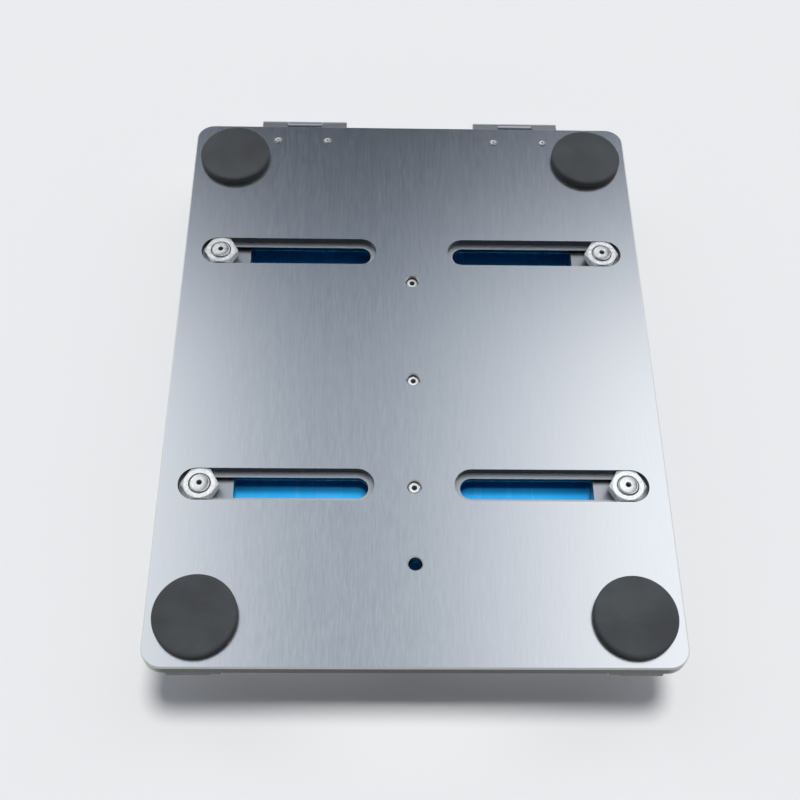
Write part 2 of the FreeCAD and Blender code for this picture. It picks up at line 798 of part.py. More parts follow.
fillSheet()
addBasePlate()
addFeet()
for sideName, side in SIDES.items():
    addRail(sideName, side)
addClamps()
addSupportBar()
addHinges()
addHingeScrews()
addHingeSpacer()
addStencilFrame()
addStencilSheet()
addLiftKnob()
writeParts()
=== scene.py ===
import bmesh
import bpy
import json
import math
from mathutils import Matrix, Vector


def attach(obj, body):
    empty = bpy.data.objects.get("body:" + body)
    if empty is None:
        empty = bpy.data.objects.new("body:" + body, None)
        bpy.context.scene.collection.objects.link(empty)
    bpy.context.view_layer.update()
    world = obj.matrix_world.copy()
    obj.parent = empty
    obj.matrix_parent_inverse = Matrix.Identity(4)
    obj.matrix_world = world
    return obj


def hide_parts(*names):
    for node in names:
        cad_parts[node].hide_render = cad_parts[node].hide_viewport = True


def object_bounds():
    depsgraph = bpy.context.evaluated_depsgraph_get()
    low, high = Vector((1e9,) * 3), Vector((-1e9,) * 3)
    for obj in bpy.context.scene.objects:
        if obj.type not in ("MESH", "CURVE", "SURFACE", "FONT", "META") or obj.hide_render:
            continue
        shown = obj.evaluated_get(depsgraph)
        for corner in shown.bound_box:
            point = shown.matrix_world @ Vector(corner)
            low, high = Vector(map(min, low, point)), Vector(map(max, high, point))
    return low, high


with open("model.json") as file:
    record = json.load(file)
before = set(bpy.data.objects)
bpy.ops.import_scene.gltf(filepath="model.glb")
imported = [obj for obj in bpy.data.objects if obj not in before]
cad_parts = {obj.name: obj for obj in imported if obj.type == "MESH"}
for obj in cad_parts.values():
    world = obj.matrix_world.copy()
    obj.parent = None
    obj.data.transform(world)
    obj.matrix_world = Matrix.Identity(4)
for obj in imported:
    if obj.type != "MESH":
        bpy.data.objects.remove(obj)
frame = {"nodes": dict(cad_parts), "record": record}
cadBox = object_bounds()
nodes = frame["nodes"]
scene = bpy.context.scene
mm = 0.001
print("frame loaded:", len(nodes), "nodes")

# the base plate, in millimetres; its clamps stand at clampSide and clampRow either way from its middle
plate = {
    "middle": -5,
    "halfWidth": 100,
    "halfLength": 130,
    "stepHeight": 7.4,
    "clampSide": 84,
    "clampRow": 56.75,
}


def addObject(name, data):
    item = bpy.data.objects.new(name, data)
    scene.collection.objects.link(item)
    return item


# camera

camera = {
    "lens": 51.153,
    "sensor": 36,
    "nearest": 0.01,
    "place": (0.01519, -0.25393, -0.39917),
    "look": (-0.02078, 0.49618, 0.86797),
    "up": (0.00722, 0.86821, -0.49615),
}


def addCamera():
    data = bpy.data.cameras.new("photoCamera")
    data.lens = camera["lens"]
    data.sensor_width = camera["sensor"]
    data.clip_start = camera["nearest"]
    look = Vector(camera["look"]).normalized()
    up = Vector(camera["up"])
    up = (up - look * up.dot(look)).normalized()
    turn = Matrix((look.cross(up), up, -look)).transposed().to_4x4()
    item = addObject("photoCamera", data)
    item.matrix_world = Matrix.Translation(camera["place"]) @ turn
    scene.camera = item


# node tree helpers

def connect(tree, socket, value):
    # value is another node's output or a fixed value
    if isinstance(value, bpy.types.NodeSocket):
        tree.links.new(value, socket)
    else:
        socket.default_value = value


def addNode(tree, kind, inputs=None, **settings):
    node = tree.nodes.new(kind)
    for key, value in settings.items():
        setattr(node, key, value)
    for key, value in (inputs or {}).items():
        connect(tree, node.inputs[key], value)
    return node


def newGroup(kind, name, inputs, outputs):
    # each input and output is a label, its kind of socket and perhaps a value
    tree = bpy.data.node_groups.new(name, kind)
    for side, rows in (("INPUT", inputs), ("OUTPUT", outputs)):
        for label, socketKind, *value in rows:
            socket = tree.interface.new_socket(label, in_out=side, socket_type="NodeSocket" + socketKind)
            if value:
                socket.default_value = value[0]
    return tree, tree.nodes.new("NodeGroupInput").outputs, tree.nodes.new("NodeGroupOutput").inputs


def useGroup(tree, group, inputs):
    return addNode(tree, "ShaderNodeGroup", inputs, node_tree=group).outputs


def calculate(tree, operation, *values):
    return addNode(tree, "ShaderNodeMath", dict(enumerate(values)), operation=operation).outputs[0]


def vectorNode(tree, operation, *values):
    return addNode(tree, "ShaderNodeVectorMath", dict(enumerate(values)), operation=operation).outputs


def splitVector(tree, vector):
    return addNode(tree, "ShaderNodeSeparateXYZ", {0: vector}).outputs


def noise(tree, vector, scale, detail=2.0, roughness=0.5):
    inputs = {"Vector": vector, "Scale": scale, "Detail": detail, "Roughness": roughness}
    return addNode(tree, "ShaderNodeTexNoise", inputs).outputs[0]


def remap(tree, value, low, high, fromLow=0.0, fromHigh=1.0):
    inputs = {0: value, 1: fromLow, 2: fromHigh, 3: low, 4: high}
    return addNode(tree, "ShaderNodeMapRange", inputs).outputs[0]


def blendValue(tree, share, low, high):
    return addNode(tree, "ShaderNodeMix", {0: share, 2: low, 3: high}).outputs[0]


def blendColour(tree, share, low, high):
    low, high = ((*colour, 1) if isinstance(colour, tuple) else colour for colour in (low, high))
    return addNode(tree, "ShaderNodeMix", {0: share, 6: low, 7: high}, data_type="RGBA").outputs[2]


# shared effects

grainLook = {"wideScale": 0.23, "wideShare": 0.2, "cloudScale": 14.0}


def makeGrain():
    # long parallel brush lines: Across and Along are how fine the noise is in each direction, per metre
    tree, source, sink = newGroup("ShaderNodeTree", "brushGrain", [
        ("Vector", "Vector"),
        ("Across", "Float", 2500.0),
        ("Along", "Float", 12.0),
    ], [("Lines", "Float"), ("Clouds", "Float")])
    part = splitVector(tree, source["Vector"])
    across = calculate(tree, "MULTIPLY", part[0], source["Across"])
    along = calculate(tree, "MULTIPLY", part[1], source["Along"])
    height = calculate(tree, "MULTIPLY", part[2], source["Across"])
    place = addNode(tree, "ShaderNodeCombineXYZ", {0: across, 1: along, 2: height}).outputs[0]
    fine = noise(tree, place, 1.0, detail=3.0, roughness=0.6)
    wide = noise(tree, place, grainLook["wideScale"])
    connect(tree, sink["Lines"], blendValue(tree, grainLook["wideShare"], fine, wide))
    clouds = noise(tree, source["Vector"], grainLook["cloudScale"], detail=4.0, roughness=0.55)
    connect(tree, sink["Clouds"], clouds)
    return tree


# bent is how alike the bevelled and the plain normal are on a flat and on a sharp edge
edgeLook = {"samples": 4, "bent": (0.99, 0.80), "patches": (0.35, 0.62), "leastWearAndHighlight": 0.25}


def makeEdges():
    # 1 on sharp edges, 0 on flats, broken up by noise; the finishes lighten edges with it, partly as handling
    # wear, partly as painted highlight
    tree, source, sink = newGroup("ShaderNodeTree", "edgeMask", [
        ("Vector", "Vector"),
        ("Reach", "Float", 0.0005),
        ("Break up", "Float", 400.0),
    ], [("Mask", "Float")])
    bevel = addNode(tree, "ShaderNodeBevel", {"Radius": source["Reach"]}, samples=edgeLook["samples"])
    plain = addNode(tree, "ShaderNodeNewGeometry").outputs["Normal"]
    likeness = vectorNode(tree, "DOT_PRODUCT", bevel.outputs[0], plain)["Value"]
    bent = remap(tree, likeness, 0.0, 1.0, *edgeLook["bent"])
    patch = noise(tree, source["Vector"], source["Break up"], detail=3.0)
    share = remap(tree, patch, edgeLook["leastWearAndHighlight"], 1.0, *edgeLook["patches"])
    connect(tree, sink["Mask"], calculate(tree, "MULTIPLY", bent, share))
    return tree


# lean: a face is a full wall while its normal rises by less than the first share, and none past the second
cutLook = {"lean": (0.25, 0.55), "stretch": (1.0, 1.0, 0.06)}


def makeCuts():
    # Mask is 1 on upright walls, where a cutter went round; Marks are its upright chatter lines
    tree, source, sink = newGroup("ShaderNodeTree", "cutWalls", [
        ("Vector", "Vector"),
        ("Pitch", "Float", 1600.0),
    ], [("Mask", "Float"), ("Marks", "Float")])
    normal = addNode(tree, "ShaderNodeNewGeometry").outputs["True Normal"]
    lean = calculate(tree, "ABSOLUTE", splitVector(tree, normal)[2])
    connect(tree, sink["Mask"], remap(tree, lean, 1.0, 0.0, *cutLook["lean"]))
    flat = vectorNode(tree, "MULTIPLY", source["Vector"], cutLook["stretch"])[0]
    connect(tree, sink["Marks"], noise(tree, flat, source["Pitch"], detail=3.0, roughness=0.6))
    return tree


# in millimetres, how far from the plate's rim and from the height of the slots' steps each mask changes
pocketReach = {"rim": 2.5, "step": 1.2, "through": 0.1}


def makePockets():
    # Inside is 1 away from the plate's rim, Step is 1 near the slots' steps and Through is 1 above them
    tree, source, sink = newGroup("ShaderNodeTree", "platePockets", [
        ("Vector", "Vector"),
        ("Middle", "Vector", Vector((0, plate["middle"], plate["stepHeight"])) * mm),
        ("Half size", "Vector", Vector((
            plate["halfWidth"] - pocketReach["rim"],
            plate["halfLength"] - pocketReach["rim"],
            pocketReach["step"],
        )) * mm),
    ], [("Inside", "Float"), ("Step", "Float"), ("Through", "Float")])
    away = vectorNode(tree, "SUBTRACT", source["Vector"], source["Middle"])[0]
    near = splitVector(tree, vectorNode(tree, "ABSOLUTE", away)[0])
    limit = splitVector(tree, source["Half size"])
    within = [calculate(tree, "LESS_THAN", near[i], limit[i]) for i in range(3)]
    inside = calculate(tree, "MULTIPLY", within[0], within[1])
    above = splitVector(tree, away)[2]
    connect(tree, sink["Inside"], inside)
    connect(tree, sink["Step"], calculate(tree, "MULTIPLY", inside, within[2]))
    connect(tree, sink["Through"], calculate(tree, "GREATER_THAN", above, pocketReach["through"] * mm))
    return tree


# how far the rings are from the clamp's axis, in millimetres
ringReach = {"joint": 4.2, "jointHalf": 0.18, "rim": (6.1, 6.3)}


def makeRings():
    # Joint is 1 where the nearest clamp's nut meets its screw, Rim is 1 on the nut's turned corners
    tree, source, sink = newGroup("ShaderNodeTree", "clampRings", [
        ("Vector", "Vector"),
        ("Middle", "Vector", Vector((0, plate["middle"], 0)) * mm),
        ("Axis", "Vector", Vector((plate["clampSide"], plate["clampRow"], 0)) * mm),
    ], [("Joint", "Float"), ("Rim", "Float")])
    away = vectorNode(tree, "SUBTRACT", source["Vector"], source["Middle"])[0]
    folded = vectorNode(tree, "ABSOLUTE", away)[0]
    offset = vectorNode(tree, "SUBTRACT", folded, source["Axis"])[0]
    flat = vectorNode(tree, "MULTIPLY", offset, (1.0, 1.0, 0.0))[0]
    reach = vectorNode(tree, "LENGTH", flat)["Value"]
    joint = calculate(tree, "COMPARE", reach, ringReach["joint"] * mm, ringReach["jointHalf"] * mm)
    connect(tree, sink["Joint"], joint)
    connect(tree, sink["Rim"], remap(tree, reach, 0.0, 1.0, *(value * mm for value in ringReach["rim"])))
    return tree


speckLook = {"edge": (0.10, 0.18)}


def makeSpecks():
    # scattered dust specks: Cells is how many cells a metre holds, Amount is the share of them with a speck
    tree, source, sink = newGroup("ShaderNodeTree", "dustSpecks", [
        ("Vector", "Vector"),
        ("Cells", "Float", 300.0),
        ("Amount", "Float", 0.2),
    ], [("Mask", "Float")])
    inputs = {"Vector": source["Vector"], "Scale": source["Cells"]}
    cells = addNode(tree, "ShaderNodeTexVoronoi", inputs).outputs
    spot = remap(tree, cells["Distance"], 1.0, 0.0, *speckLook["edge"])
    chance = addNode(tree, "ShaderNodeSeparateColor", {0: cells["Color"]}).outputs[0]
    chosen = calculate(tree, "LESS_THAN", chance, source["Amount"])
    connect(tree, sink["Mask"], calculate(tree, "MULTIPLY", spot, chosen))
    return tree


grainGroup = makeGrain()
edgeGroup = makeEdges()
cutGroup = makeCuts()
pocketGroup = makePockets()
ringGroup = makeRings()
speckGroup = makeSpecks()


# finishes

# the part of each noise's range that is used
noiseSpan = {"lines": (0.25, 0.75), "fine": (0.3, 0.7), "wide": (0.35, 0.65)}


def newMaterial(name):
    material = bpy.data.materials.new(name)
    material.use_nodes = True
    tree = material.node_tree
    place = addNode(tree, "ShaderNodeTexCoord").outputs["Object"]
    return material, tree, tree.nodes["Principled BSDF"], place


def paint(tree, shader, colour, roughness, relief, strength, height):
    # relief is the noise that the bumps follow, height is how tall they are in metres
    connect(tree, shader.inputs["Base Color"], colour)
    connect(tree, shader.inputs["Roughness"], roughness)
    bump = addNode(tree, "ShaderNodeBump", {"Strength": strength, "Distance": height, "Height": relief})
    connect(tree, shader.inputs["Normal"], bump.outputs[0])


def scaled(colour, tone):
    return tuple(tone * value for value in colour)


# turned lays the brush lines along x. wallShadeTone is how bright the milled walls are beside the brushed
# faces, a painted shade, pocketShadeTone those inside the slots, a deeper painted shade. throughSlotShade is
# their colour above the step, a near-black painted shade, and stepRough is for the step.
brushedMetals = {
    "plateAluminium": {
        "dark": (0.765, 0.775, 0.785), "light": (0.845, 0.85, 0.86), "edge": (0.92, 0.92, 0.93),
        "rough": (0.205, 0.255), "lineHeight": 0.000003, "across": 1500.0, "along": 150.0, "turned": False,
        "wallShadeTone": 0.5, "pocketShadeTone": 0.2, "throughSlotShade": (0.03, 0.03, 0.03), "stepRough": 0.5,
    },
    "railAluminium": {
        "dark": (0.62, 0.63, 0.65), "light": (0.72, 0.73, 0.75), "edge": (0.88, 0.88, 0.88),
        "rough": (0.34, 0.46), "lineHeight": 0.00001, "across": 2500.0, "along": 40.0, "turned": False,
        "wallShadeTone": 0.7,
    },
    "frameAluminium": {
        "dark": (0.66, 0.67, 0.69), "light": (0.74, 0.75, 0.77), "edge": (0.88, 0.88, 0.90),
        "rough": (0.30, 0.38), "lineHeight": 0.00001, "across": 2500.0, "along": 12.0, "turned": True,
        "wallShadeTone": 0.7,
    },
    "hingeSteel": {
        "dark": (0.60, 0.60, 0.61), "light": (0.74, 0.74, 0.75), "edge": (0.88, 0.88, 0.88),
        "rough": (0.28, 0.38), "lineHeight": 0.00001, "across": 2500.0, "along": 12.0, "turned": True,
        "wallShadeTone": 1.0,
    },
}
brushWear = {
    "edgeReach": 0.0006,
    "cloudShare": 0.12,
    "darkMark": 0.8,
    "lightMark": 1.2,
    "wallRough": 0.42,
    "bump": 0.6,
}


def millMarks(tree, marks, look, tone):
    # the walls' chatter lines, from darker than the dark to lighter than the light of the brushed faces,
    # times tone as painted shade
    dark = scaled(look["dark"], tone * brushWear["darkMark"])
    light = scaled(look["light"], tone * brushWear["lightMark"])
    return blendColour(tree, marks, dark, light)


def brushedMetal(name):
    look, wear = brushedMetals[name], brushWear
    material, tree, shader, whole = newMaterial(name)
    place = whole
    if look["turned"]:
        place = addNode(tree, "ShaderNodeMapping", {0: whole, 2: (0, 0, math.pi / 2)}).outputs[0]
    grain = useGroup(tree, grainGroup, {"Vector": place, "Across": look["across"], "Along": look["along"]})
    edges = useGroup(tree, edgeGroup, {"Vector": place, "Reach": wear["edgeReach"]})
    walls = useGroup(tree, cutGroup, {"Vector": whole})
    lines = remap(tree, grain["Lines"], 0.0, 1.0, *noiseSpan["lines"])
    clouds = remap(tree, grain["Clouds"], 0.0, wear["cloudShare"], *noiseSpan["fine"])
    brushed = blendColour(tree, clouds, blendColour(tree, lines, look["dark"], look["light"]), look["dark"])
    # painted shade: the milled walls darkened by wallShadeTone against the brushed faces
    milled = millMarks(tree, walls["Marks"], look, look["wallShadeTone"])
    lineRough = remap(tree, grain["Lines"], *look["rough"], *noiseSpan["lines"])
    rough = blendValue(tree, walls["Mask"], lineRough, wear["wallRough"])
    # painted shade inside the slots: walls darkened by pocketShadeTone, near black above the step
    if "pocketShadeTone" in look:
        pocket = useGroup(tree, pocketGroup, {"Vector": whole})
        deep = millMarks(tree, walls["Marks"], look, look["pocketShadeTone"])
        deeper = blendColour(tree, pocket["Through"], deep, look["throughSlotShade"])
        milled = blendColour(tree, pocket["Inside"], milled, deeper)
        rough = blendValue(tree, pocket["Step"], rough, look["stepRough"])
    faced = blendColour(tree, walls["Mask"], brushed, milled)
    # lighter edges: partly wear, partly painted highlight
    wearAndHighlight = blendColour(tree, edges["Mask"], faced, look["edge"])
    relief = blendValue(tree, walls["Mask"], grain["Lines"], walls["Marks"])
    paint(tree, shader, wearAndHighlight, rough, relief, wear["bump"], look["lineHeight"])
    shader.inputs["Metallic"].default_value = 1.0
    return material


# rimShadeTone is painted shade on the nuts' chamfered corners; joint is the grimy dark line where each nut
# meets its screw
platedSteels = {
    "clampSteel": {
        "dark": (0.84, 0.85, 0.835), "light": (0.99, 0.99, 0.975), "rough": (0.12, 0.32),
        "grain": 520.0, "dent": 0.0004, "metallic": 0.66, "rimShadeTone": 0.75, "joint": (0.09, 0.088, 0.08),
    },
    "screwSteel": {
        "dark": (0.84, 0.84, 0.84), "light": (0.98, 0.98, 0.98), "rough": (0.12, 0.26),
        "grain": 1500.0, "dent": 0.00013, "metallic": 0.6,
    },
}
# edge is a lighter edge, partly wear and partly painted highlight; grime is the colour of the painted shade
# in recesses
platedWearAndShade = {"edge": (0.97, 0.97, 0.97), "grime": (0.035, 0.033, 0.03), "bump": 0.7}
smallEdges = {"Reach": 0.0003, "Break up": 900.0}


def platedSteel(name):
    look = platedSteels[name]
    material, tree, shader, place = newMaterial(name)
    fine = noise(tree, place, look["grain"], detail=4.0, roughness=0.6)
    edges = useGroup(tree, edgeGroup, {"Vector": place, **smallEdges})
    plated = blendColour(tree, remap(tree, fine, 0.0, 1.0, *noiseSpan["fine"]), look["dark"], look["light"])
    # lighter edges: partly wear, partly painted highlight
    wearAndHighlight = blendColour(tree, edges["Mask"], plated, platedWearAndShade["edge"])
    # painted shade in the recesses, read from the grime attribute: socket, thread roots and tip dimple
    grime = addNode(tree, "ShaderNodeAttribute", attribute_name="grime").outputs["Fac"]
    shadedColour = blendColour(tree, grime, wearAndHighlight, platedWearAndShade["grime"])
    if "joint" in look:
        rings = useGroup(tree, ringGroup, {"Vector": place})
        # painted shade: the nuts' chamfered corners darkened by rimShadeTone; the joint line after it is a
        # grimy gap
        turned = blendColour(tree, rings["Rim"], shadedColour, scaled(look["dark"], look["rimShadeTone"]))
        shadedColour = blendColour(tree, rings["Joint"], turned, look["joint"])
    rough = remap(tree, fine, *look["rough"], *noiseSpan["fine"])
    paint(tree, shader, shadedColour, rough, fine, platedWearAndShade["bump"], look["dent"])
    shader.inputs["Metallic"].default_value = look["metallic"]
    return material


rubberLook = {
    "dark": (0.034, 0.036, 0.038), "light": (0.047, 0.050, 0.053), "dust": (0.056, 0.058, 0.06),
    "rough": (0.55, 0.75), "grain": 1400.0, "patches": 60.0, "bump": 0.5, "dent": 0.00004,
    "specks": {"Cells": 700.0, "Amount": 0.06},
}


def rubber(name):
    look = rubberLook
    material, tree, shader, place = newMaterial(name)
    fine = noise(tree, place, look["grain"], detail=3.0)
    wide = noise(tree, place, look["patches"], detail=3.0)
    specks = useGroup(tree, speckGroup, {"Vector": place, **look["specks"]})
    clean = blendColour(tree, remap(tree, wide, 0.0, 1.0, *noiseSpan["wide"]), look["dark"], look["light"])
    dusty = blendColour(tree, specks["Mask"], clean, look["dust"])
    rough = remap(tree, fine, *look["rough"], *noiseSpan["fine"])
    paint(tree, shader, dusty, rough, fine, look["bump"], look["dent"])
    return material


filmLook = {
    "dark": (0.016, 0.27, 0.60), "light": (0.022, 0.32, 0.66), "wiped": (0.16, 0.40, 0.62),
    "rough": (0.17, 0.34), "grain": 900.0, "patches": 16.0, "bump": 0.05, "dent": 0.00001,
    "streaks": (90.0, 7.0, 1.0), "wipedShare": 0.12, "wipedSpan": (0.45, 0.75), "roughSpan": (0.35, 0.7),
    "gloss": {"IOR": 1.5, "Coat Weight": 0.4, "Coat Roughness": 0.08},
}


def blueFilm(name):
    # stretched film with faint wiping streaks along the squeegee's way
    look = filmLook
    material, tree, shader, place = newMaterial(name)
    long = addNode(tree, "ShaderNodeMapping", {0: place, 3: look["streaks"]}).outputs[0]
    streak = noise(tree, long, 1.0, detail=4.0, roughness=0.6)
    wide = noise(tree, place, look["patches"], detail=3.0)
    fine = noise(tree, place, look["grain"])
    base = blendColour(tree, remap(tree, wide, 0.0, 1.0, *noiseSpan["wide"]), look["dark"], look["light"])
    share = remap(tree, streak, 0.0, look["wipedShare"], *look["wipedSpan"])
    colour = blendColour(tree, share, base, look["wiped"])
    rough = remap(tree, streak, *look["rough"], *look["roughSpan"])
    paint(tree, shader, colour, rough, fine, look["bump"], look["dent"])
    for label, value in look["gloss"].items():
        shader.inputs[label].default_value = value
    return material


plasticLook = {
    "face": (0.022, 0.022, 0.024), "edge": (0.07, 0.07, 0.075),
    "rough": (0.35, 0.5), "grain": 2200.0, "bump": 0.4, "dent": 0.00003,
}


def blackPlastic(name):
    look = plasticLook
    material, tree, shader, place = newMaterial(name)
    fine = noise(tree, place, look["grain"], detail=3.0)
    edges = useGroup(tree, edgeGroup, {"Vector": place, **smallEdges})
    # edges much lighter than the face: partly scuffing, partly painted highlight
    colour = blendColour(tree, edges["Mask"], look["face"], look["edge"])
    rough = remap(tree, fine, *look["rough"], *noiseSpan["fine"])
    paint(tree, shader, colour, rough, fine, look["bump"], look["dent"])
    return material


finishes = {
    "plate_aluminium": brushedMetal("plateAluminium"),
    "rail_aluminium": brushedMetal("railAluminium"),
    "frame_aluminium": brushedMetal("frameAluminium"),
    "hinge_steel": brushedMetal("hingeSteel"),
    "clamp_steel": platedSteel("clampSteel"),
    "screw_steel": platedSteel("screwSteel"),
    "foot_rubber": rubber("footRubber"),
    "stencil_blue": blueFilm("stencilFilm"),
    "knob_plastic": blackPlastic("knobPlastic"),
}


def finishNodes():
    for entry in frame["record"]["subparts"]:
        for holder in nodes[entry["node"]].material_slots:
            holder.material = finishes[entry["material_slot"]]


finishNodes()
print("finishes on", len(nodes), "nodes")


# turned shapes: a ring is its height, its reach and perhaps its painted crevice shade, the last two as
# functions of the angle

def level(value):
    # the same value at every angle
    return lambda angle: value


def plainRings(outline):
    return [(height, level(reach)) for height, reach in outline]


def joinLoops(shape, loops):
    for one, two in zip(loops, loops[1:]):
        for i in range(len(one)):
            shape.faces.new((one[i - 1], one[i], two[i], two[i - 1]))


def closeShape(shape, name):
    bmesh.ops.recalc_face_normals(shape, faces=shape.faces)
    mesh = bpy.data.meshes.new(name)
    shape.to_mesh(mesh)
    shape.free()
    return mesh


def ringMesh(name, rings, sides):
    # a closed solid round the z axis
    shape = bmesh.new()
    # each vertex keeps its painted crevice shade, which the screw finish reads as an attribute
    grime = shape.verts.layers.float.new("grime")
    angles = [2 * math.pi * i / sides for i in range(sides)]
    loops = []
    for height, reach, *shadeLevel in rings:
        loop = []
        for angle in angles:
            across, back = reach(angle) * math.cos(angle), reach(angle) * math.sin(angle)
            vertex = shape.verts.new((across * mm, back * mm, height * mm))
            vertex[grime] = shadeLevel[0](angle) if shadeLevel else 0.0
            loop.append(vertex)
        loops.append(loop)
    joinLoops(shape, loops)
    for loop, height in ((loops[0], rings[0][0]), (loops[-1], rings[-1][0])):
        pole = shape.verts.new((0, 0, height * mm))
        pole[grime] = loop[0][grime]
        for i in range(sides):
            shape.faces.new((loop[i - 1], loop[i], pole))
    bmesh.ops.remove_doubles(shape, verts=shape.verts, dist=1e-7)
    return closeShape(shape, name)


# how many flats round one rib, and how deep in the rim it starts, in millimetres
ribShape = {"flats": 6, "root": 0.3}


def ribMesh(name, radius, rise, width, low, high):
    # one rounded rib that stands out from a round rim, running up from low to high
    shape = bmesh.new()
    flats, root = ribShape["flats"], ribShape["root"]
    rows = []
    for height, share in ((low, 0.0), (low + rise, 1.0), (high - rise, 1.0), (high, 0.0)):
        row = []
        for step in range(flats + 1):
            angle = math.pi * step / flats
            swell = (root + rise * math.sin(angle)) * share if 0 < step < flats else 0
            out = radius - root + swell
            row.append(shape.verts.new((out * mm, width / 2 * math.cos(angle) * mm, height * mm)))
        rows.append(row)
    joinLoops(shape, rows)
    shape.faces.new(rows[0])
    shape.faces.new(rows[-1])
    return closeShape(shape, name)


# screws, in millimetres: z is 0 at the top of the head, and the screw hangs down from there

screwSizes = {
    "clamp": {
        "thread": 8, "pitch": 1.25, "length": 15, "head": 13, "headHeight": 5,
        "socket": 5, "socketDepth": 3, "dimple": 1.1, "sides": 48,
    },
    "centre": {
        "thread": 5, "pitch": 0.8, "length": 11, "head": 9.2,
        "socket": 3, "socketDepth": 1.8, "dimple": 1.1, "sides": 36,
    },
    "hingeBase": {
        "thread": 3, "pitch": 0.5, "length": 8, "head": 5.5,
        "socket": 2, "socketDepth": 1.1, "dimple": 0.45, "sides": 24,
    },
    "hingeFrame": {
        "thread": 3, "pitch": 0.5, "length": 10, "head": 5.5,
        "socket": 2, "socketDepth": 1.1, "dimple": 0.55, "sides": 24,
    },
    "knob": {
        "thread": 4, "pitch": 0.7, "length": 14, "head": 7.4,
        "socket": 2.5, "socketDepth": 1.5, "dimple": 0.8, "sides": 36,
    },
}

# edge is the head's upper edge: how far each point is below the top and inside the head's width. The thread
# starts shank below the head. The round head's lower edge goes in by underInset over underHeight.
headShapes = {
    "round": {
        "edge": ((0, 0.75), (0.14, 0.55), (0.5, 0.25), (0.9, 0.15)), "shank": 0.6,
        "underHeight": 0.35, "underInset": 0.5, "fillet": 0.25,
    },
    "sunk": {"edge": ((0, 0.22), (0.04, 0.12), (0.12, 0.12)), "shank": 0.3},
}

# shares of the socket's width
socketShape = {"drillDepth": 0.1, "drillMiddle": 0.05, "drillReach": 0.42, "mouth": 0.07, "flare": 0.05}

# depth is a share of the pitch, and a larger crest leaves the thread a broader top; grime is the painted
# shade in its roots
threadShape = {"depth": 0.55, "ringsPerTurn": 6, "crest": 1.3, "grime": 0.9}

# depth, reach and painted shade down the dimple in the tip, the first two with the dimple's radius as the
# unit
dimpleSteps = ((0, 1.25, 0), (0, 1, 0.5), (0.15, 0.88, 0.9), (1.5, 0.1, 1))


def hexReach(angle, flats):
    # how far a hexagon's side is from its middle in that direction
    return flats / 2 / math.cos((angle + math.pi / 6) % (math.pi / 3) - math.pi / 6)


def socketRings(size):
    # from the drilled middle of the socket's floor up to its mouth
    socket, floor = size["socket"], -size["socketDepth"]

    def hexagon(angle):
        return hexReach(angle, socket)
    # the third value of each ring is its painted shade, darkest on the socket's floor
    return [
        (floor - socketShape["drillDepth"] * socket, level(socketShape["drillMiddle"] * socket), level(1)),
        (floor, level(socketShape["drillReach"] * socket), level(0.9)),
        (floor, hexagon, level(0.8)),
        (-socketShape["mouth"] * socket, hexagon, level(0.3)),
        (0, level(socket / math.sqrt(3) + socketShape["flare"] * socket), level(0)),
    ]


def headOutline(size):
    # (height, reach) from the top's edge down to where the thread starts
    head, radius = size["head"] / 2, size["thread"] / 2
    shape = headShapes["round" if "headHeight" in size else "sunk"]
    outline = [(-depth, head - inset) for depth, inset in shape["edge"]]
    if "headHeight" not in size:
        return outline + [(radius - head, radius), (radius - head - shape["shank"], radius)]
    bottom = -size["headHeight"]
    return outline + [
        (bottom + shape["underHeight"], outline[-1][1]),
        (bottom, head - shape["underInset"]),
        (bottom, radius + shape["fillet"]),
        (bottom - shape["fillet"], radius),
        (bottom - shape["shank"], radius),
    ]


def threadRing(size, height, start):
    # one ring of the thread, which deepens over its first turn and runs out in a cone at the tip
    radius, pitch = size["thread"] / 2, size["pitch"]
    depth = threadShape["depth"] * pitch
    grow = min(1.0, (start - height) / pitch)
    cone = radius - depth + (height + size["length"])

    def crest(angle):
        turn = (height / pitch + angle / (2 * math.pi)) % 1.0
        return min(1.0, threadShape["crest"] * abs(2 * turn - 1))

    def reach(angle):
        return min(radius - depth * (1 - crest(angle)) * grow, cone)

    # painted shade, darkest in the thread's roots
    def grime(angle):
        return threadShape["grime"] * (1 - crest(angle))
    return height, reach, grime


def screwRings(size):
    # from the socket's floor up over the head and down to the dimple in the tip
    outline = headOutline(size)
    start, tip, hole = outline[-1][0], -size["length"], size["dimple"]
    count = round((start - tip) / size["pitch"] * threadShape["ringsPerTurn"])
    rings = socketRings(size) + plainRings(outline)
    rings += [threadRing(size, start + (tip - start) * i / count, start) for i in range(count + 1)]
    return rings + [(tip + deep * hole, level(wide * hole), level(shadeLevel)) for deep, wide, shadeLevel in dimpleSteps]


# geometry node trees

def endTree(tree, geometry, finish, sink):
    real = addNode(tree, "GeometryNodeRealizeInstances", {0: geometry}).outputs[0]
    painted = addNode(tree, "GeometryNodeSetMaterial", {"Geometry": real, "Material": finish}).outputs[0]
    connect(tree, sink[0], painted)


def pieceOnPoints(tree, points, piece, rotation):
    item = addNode(tree, "GeometryNodeObjectInfo", {"Object": piece, "As Instance": True}).outputs["Geometry"]
    inputs = {"Points": points, "Instance": item, "Rotation": rotation}
    return addNode(tree, "GeometryNodeInstanceOnPoints", inputs).outputs[0]


def makeSetTree():
    # the piece on every point of the mesh, each turned by chance; Flip turns them head down
    tree, source, sink = newGroup("GeometryNodeTree", "pieceSet", [
        ("Geometry", "Geometry"),
        ("Piece", "Object"),
        ("Flip", "Float"),
        ("Seed", "Int"),
        ("Finish", "Material"),
    ], [("Geometry", "Geometry")])
    inputs = {2: 0.0, 3: math.pi / 3, "Seed": source["Seed"]}
    chance = addNode(tree, "FunctionNodeRandomValue", inputs, data_type="FLOAT").outputs[1]
    turn = addNode(tree, "ShaderNodeCombineXYZ", {0: source["Flip"], 2: chance}).outputs[0]
    spread = pieceOnPoints(tree, source["Geometry"], source["Piece"], turn)
    endTree(tree, spread, source["Finish"], sink)
    return tree


